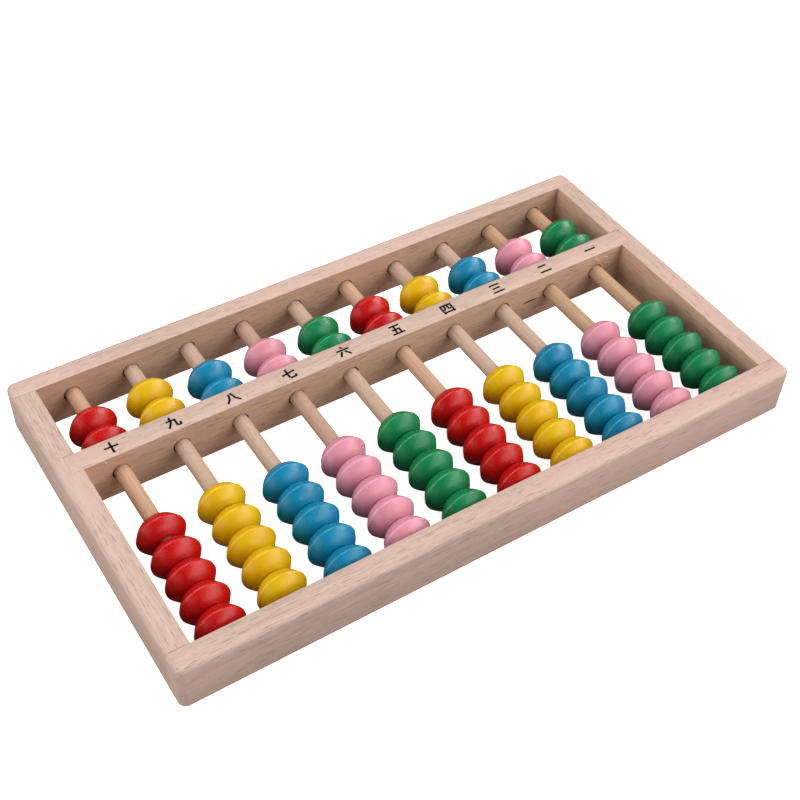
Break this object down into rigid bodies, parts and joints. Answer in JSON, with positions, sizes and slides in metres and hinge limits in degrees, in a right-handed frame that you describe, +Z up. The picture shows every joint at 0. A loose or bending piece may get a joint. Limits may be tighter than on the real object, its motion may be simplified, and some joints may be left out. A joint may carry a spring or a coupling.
{
  "type": "abacus",
  "caption": "Wooden bead abacus: a beech frame with a divider beam, round rods and painted double-cone beads that slide in an upper and a lower deck.",
  "frame": {"origin": "middle of the frame's underside, where the abacus rests on the table", "axes": "+X along the front rail from column 1 to column 10, +Y from the front rail (five-bead deck) to the back rail (two-bead deck), +Z up"},
  "size_m": [0.3, 0.168, 0.0234],
  "materials": {
    "beech_frame": "bare sanded beech, matt",
    "rod_wood": "plain round dowel, matt to satin",
    "paint_red": "turned wood with red satin paint",
    "paint_yellow": "turned wood with yellow satin paint",
    "paint_blue": "turned wood with blue satin paint",
    "paint_pink": "turned wood with pink satin paint",
    "paint_green": "turned wood with green satin paint",
    "ink": "black printed column numbers on the beam"
  },
  "bodies": {
    "frame": {"front_rail": "beech_frame", "back_rail": "beech_frame", "left_rail": "beech_frame", "right_rail": "beech_frame", "divider_beam": "beech_frame", "rod_01": "rod_wood", "rod_02": "rod_wood", "rod_03": "rod_wood", "rod_04": "rod_wood", "rod_05": "rod_wood", "rod_06": "rod_wood", "rod_07": "rod_wood", "rod_08": "rod_wood", "rod_09": "rod_wood", "rod_10": "rod_wood"},
    "column_01_lower_beads_2_to_5": {"column_01_lower_beads_2_to_5": "paint_red"},
    "column_01_lower_bead_1": {"column_01_lower_bead_1": "paint_red"},
    "column_01_upper_bead_2": {"column_01_upper_bead_2": "paint_red"},
    "column_01_upper_bead_1": {"column_01_upper_bead_1": "paint_red"},
    "column_02_lower_beads_2_to_5": {"column_02_lower_beads_2_to_5": "paint_yellow"},
    "column_02_lower_bead_1": {"column_02_lower_bead_1": "paint_yellow"},
    "column_02_upper_bead_2": {"column_02_upper_bead_2": "paint_yellow"},
    "column_02_upper_bead_1": {"column_02_upper_bead_1": "paint_yellow"},
    "column_03_lower_beads_2_to_5": {"column_03_lower_beads_2_to_5": "paint_blue"},
    "column_03_lower_bead_1": {"column_03_lower_bead_1": "paint_blue"},
    "column_03_upper_bead_2": {"column_03_upper_bead_2": "paint_blue"},
    "column_03_upper_bead_1": {"column_03_upper_bead_1": "paint_blue"},
    "column_04_lower_beads_2_to_5": {"column_04_lower_beads_2_to_5": "paint_pink"},
    "column_04_lower_bead_1": {"column_04_lower_bead_1": "paint_pink"},
    "column_04_upper_bead_2": {"column_04_upper_bead_2": "paint_pink"},
    "column_04_upper_bead_1": {"column_04_upper_bead_1": "paint_pink"},
    "column_05_lower_beads_2_to_5": {"column_05_lower_beads_2_to_5": "paint_green"},
    "column_05_lower_bead_1": {"column_05_lower_bead_1": "paint_green"},
    "column_05_upper_bead_2": {"column_05_upper_bead_2": "paint_green"},
    "column_05_upper_bead_1": {"column_05_upper_bead_1": "paint_green"},
    "column_06_lower_beads_2_to_5": {"column_06_lower_beads_2_to_5": "paint_red"},
    "column_06_lower_bead_1": {"column_06_lower_bead_1": "paint_red"},
    "column_06_upper_bead_2": {"column_06_upper_bead_2": "paint_red"},
    "column_06_upper_bead_1": {"column_06_upper_bead_1": "paint_red"},
    "column_07_lower_beads_2_to_5": {"column_07_lower_beads_2_to_5": "paint_yellow"},
    "column_07_lower_bead_1": {"column_07_lower_bead_1": "paint_yellow"},
    "column_07_upper_bead_2": {"column_07_upper_bead_2": "paint_yellow"},
    "column_07_upper_bead_1": {"column_07_upper_bead_1": "paint_yellow"},
    "column_08_lower_beads_2_to_5": {"column_08_lower_beads_2_to_5": "paint_blue"},
    "column_08_lower_bead_1": {"column_08_lower_bead_1": "paint_blue"},
    "column_08_upper_bead_2": {"column_08_upper_bead_2": "paint_blue"},
    "column_08_upper_bead_1": {"column_08_upper_bead_1": "paint_blue"},
    "column_09_lower_beads_2_to_5": {"column_09_lower_beads_2_to_5": "paint_pink"},
    "column_09_lower_bead_1": {"column_09_lower_bead_1": "paint_pink"},
    "column_09_upper_bead_2": {"column_09_upper_bead_2": "paint_pink"},
    "column_09_upper_bead_1": {"column_09_upper_bead_1": "paint_pink"},
    "column_10_lower_beads_2_to_5": {"column_10_lower_beads_2_to_5": "paint_green"},
    "column_10_lower_bead_1": {"column_10_lower_bead_1": "paint_green"},
    "column_10_upper_bead_2": {"column_10_upper_bead_2": "paint_green"},
    "column_10_upper_bead_1": {"column_10_upper_bead_1": "paint_green"}
  },
  "joints": [
    {"name": "column_01_lower_beads_2_to_5_slide", "type": "slide", "parent": "frame", "child": "column_01_lower_beads_2_to_5", "axis": [0, 1, 0], "range_m": [-0.001, 0.0313]},
    {"name": "column_01_lower_bead_1_slide", "type": "slide", "parent": "column_01_lower_beads_2_to_5", "child": "column_01_lower_bead_1", "axis": [0, -1, 0], "range_m": [-0.0313, 0.0013]},
    {"name": "column_01_upper_bead_2_slide", "type": "slide", "parent": "frame", "child": "column_01_upper_bead_2", "axis": [0, 1, 0], "range_m": [0, 0.0161]},
    {"name": "column_01_upper_bead_1_slide", "type": "slide", "parent": "column_01_upper_bead_2", "child": "column_01_upper_bead_1", "axis": [0, -1, 0], "range_m": [-0.0161, 0]},
    {"name": "column_02_lower_beads_2_to_5_slide", "type": "slide", "parent": "frame", "child": "column_02_lower_beads_2_to_5", "axis": [0, 1, 0], "range_m": [-0.0032, 0.0299]},
    {"name": "column_02_lower_bead_1_slide", "type": "slide", "parent": "column_02_lower_beads_2_to_5", "child": "column_02_lower_bead_1", "axis": [0, -1, 0], "range_m": [-0.0299, 0.0005]},
    {"name": "column_02_upper_bead_2_slide", "type": "slide", "parent": "frame", "child": "column_02_upper_bead_2", "axis": [0, 1, 0], "range_m": [-0.0023, 0.0129]},
    {"name": "column_02_upper_bead_1_slide", "type": "slide", "parent": "column_02_upper_bead_2", "child": "column_02_upper_bead_1", "axis": [0, -1, 0], "range_m": [-0.0129, 0.0009]},
    {"name": "column_03_lower_beads_2_to_5_slide", "type": "slide", "parent": "frame", "child": "column_03_lower_beads_2_to_5", "axis": [0, 1, 0], "range_m": [0, 0.0336]},
    {"name": "column_03_lower_bead_1_slide", "type": "slide", "parent": "column_03_lower_beads_2_to_5", "child": "column_03_lower_bead_1", "axis": [0, -1, 0], "range_m": [-0.0336, 0]},
    {"name": "column_03_upper_bead_2_slide", "type": "slide", "parent": "frame", "child": "column_03_upper_bead_2", "axis": [0, 1, 0], "range_m": [0, 0.0161]},
    {"name": "column_03_upper_bead_1_slide", "type": "slide", "parent": "column_03_upper_bead_2", "child": "column_03_upper_bead_1", "axis": [0, -1, 0], "range_m": [-0.0161, 0]},
    {"name": "column_04_lower_beads_2_to_5_slide", "type": "slide", "parent": "frame", "child": "column_04_lower_beads_2_to_5", "axis": [0, 1, 0], "range_m": [0, 0.0336]},
    {"name": "column_04_lower_bead_1_slide", "type": "slide", "parent": "column_04_lower_beads_2_to_5", "child": "column_04_lower_bead_1", "axis": [0, -1, 0], "range_m": [-0.0336, 0]},
    {"name": "column_04_upper_bead_2_slide", "type": "slide", "parent": "frame", "child": "column_04_upper_bead_2", "axis": [0, 1, 0], "range_m": [0, 0.0161]},
    {"name": "column_04_upper_bead_1_slide", "type": "slide", "parent": "column_04_upper_bead_2", "child": "column_04_upper_bead_1", "axis": [0, -1, 0], "range_m": [-0.0161, 0]},
    {"name": "column_05_lower_beads_2_to_5_slide", "type": "slide", "parent": "frame", "child": "column_05_lower_beads_2_to_5", "axis": [0, 1, 0], "range_m": [0, 0.0336]},
    {"name": "column_05_lower_bead_1_slide", "type": "slide", "parent": "column_05_lower_beads_2_to_5", "child": "column_05_lower_bead_1", "axis": [0, -1, 0], "range_m": [-0.0336, 0]},
    {"name": "column_05_upper_bead_2_slide", "type": "slide", "parent": "frame", "child": "column_05_upper_bead_2", "axis": [0, 1, 0], "range_m": [0, 0.0161]},
    {"name": "column_05_upper_bead_1_slide", "type": "slide", "parent": "column_05_upper_bead_2", "child": "column_05_upper_bead_1", "axis": [0, -1, 0], "range_m": [-0.0161, 0]},
    {"name": "column_06_lower_beads_2_to_5_slide", "type": "slide", "parent": "frame", "child": "column_06_lower_beads_2_to_5", "axis": [0, 1, 0], "range_m": [0, 0.0336]},
    {"name": "column_06_lower_bead_1_slide", "type": "slide", "parent": "column_06_lower_beads_2_to_5", "child": "column_06_lower_bead_1", "axis": [0, -1, 0], "range_m": [-0.0336, 0]},
    {"name": "column_06_upper_bead_2_slide", "type": "slide", "parent": "frame", "child": "column_06_upper_bead_2", "axis": [0, 1, 0], "range_m": [0, 0.0161]},
    {"name": "column_06_upper_bead_1_slide", "type": "slide", "parent": "column_06_upper_bead_2", "child": "column_06_upper_bead_1", "axis": [0, -1, 0], "range_m": [-0.0161, 0]},
    {"name": "column_07_lower_beads_2_to_5_slide", "type": "slide", "parent": "frame", "child": "column_07_lower_beads_2_to_5", "axis": [0, 1, 0], "range_m": [0, 0.0336]},
    {"name": "column_07_lower_bead_1_slide", "type": "slide", "parent": "column_07_lower_beads_2_to_5", "child": "column_07_lower_bead_1", "axis": [0, -1, 0], "range_m": [-0.0336, 0]},
    {"name": "column_07_upper_bead_2_slide", "type": "slide", "parent": "frame", "child": "column_07_upper_bead_2", "axis": [0, 1, 0], "range_m": [0, 0.0161]},
    {"name": "column_07_upper_bead_1_slide", "type": "slide", "parent": "column_07_upper_bead_2", "child": "column_07_upper_bead_1", "axis": [0, -1, 0], "range_m": [-0.0161, 0]},
    {"name": "column_08_lower_beads_2_to_5_slide", "type": "slide", "parent": "frame", "child": "column_08_lower_beads_2_to_5", "axis": [0, 1, 0], "range_m": [0, 0.0336]},
    {"name": "column_08_lower_bead_1_slide", "type": "slide", "parent": "column_08_lower_beads_2_to_5", "child": "column_08_lower_bead_1", "axis": [0, -1, 0], "range_m": [-0.0336, 0]},
    {"name": "column_08_upper_bead_2_slide", "type": "slide", "parent": "frame", "child": "column_08_upper_bead_2", "axis": [0, 1, 0], "range_m": [0, 0.0161]},
    {"name": "column_08_upper_bead_1_slide", "type": "slide", "parent": "column_08_upper_bead_2", "child": "column_08_upper_bead_1", "axis": [0, -1, 0], "range_m": [-0.0161, 0]},
    {"name": "column_09_lower_beads_2_to_5_slide", "type": "slide", "parent": "frame", "child": "column_09_lower_beads_2_to_5", "axis": [0, 1, 0], "range_m": [-0.0005, 0.0331]},
    {"name": "column_09_lower_bead_1_slide", "type": "slide", "parent": "column_09_lower_beads_2_to_5", "child": "column_09_lower_bead_1", "axis": [0, -1, 0], "range_m": [-0.0331, 0]},
    {"name": "column_09_upper_bead_2_slide", "type": "slide", "parent": "frame", "child": "column_09_upper_bead_2", "axis": [0, 1, 0], "range_m": [0, 0.0161]},
    {"name": "column_09_upper_bead_1_slide", "type": "slide", "parent": "column_09_upper_bead_2", "child": "column_09_upper_bead_1", "axis": [0, -1, 0], "range_m": [-0.0161, 0]},
    {"name": "column_10_lower_beads_2_to_5_slide", "type": "slide", "parent": "frame", "child": "column_10_lower_beads_2_to_5", "axis": [0, 1, 0], "range_m": [0, 0.0336]},
    {"name": "column_10_lower_bead_1_slide", "type": "slide", "parent": "column_10_lower_beads_2_to_5", "child": "column_10_lower_bead_1", "axis": [0, -1, 0], "range_m": [-0.0336, 0]},
    {"name": "column_10_upper_bead_2_slide", "type": "slide", "parent": "frame", "child": "column_10_upper_bead_2", "axis": [0, 1, 0], "range_m": [0, 0.0161]},
    {"name": "column_10_upper_bead_1_slide", "type": "slide", "parent": "column_10_upper_bead_2", "child": "column_10_upper_bead_1", "axis": [0, -1, 0], "range_m": [-0.0161, 0]}
  ]
}
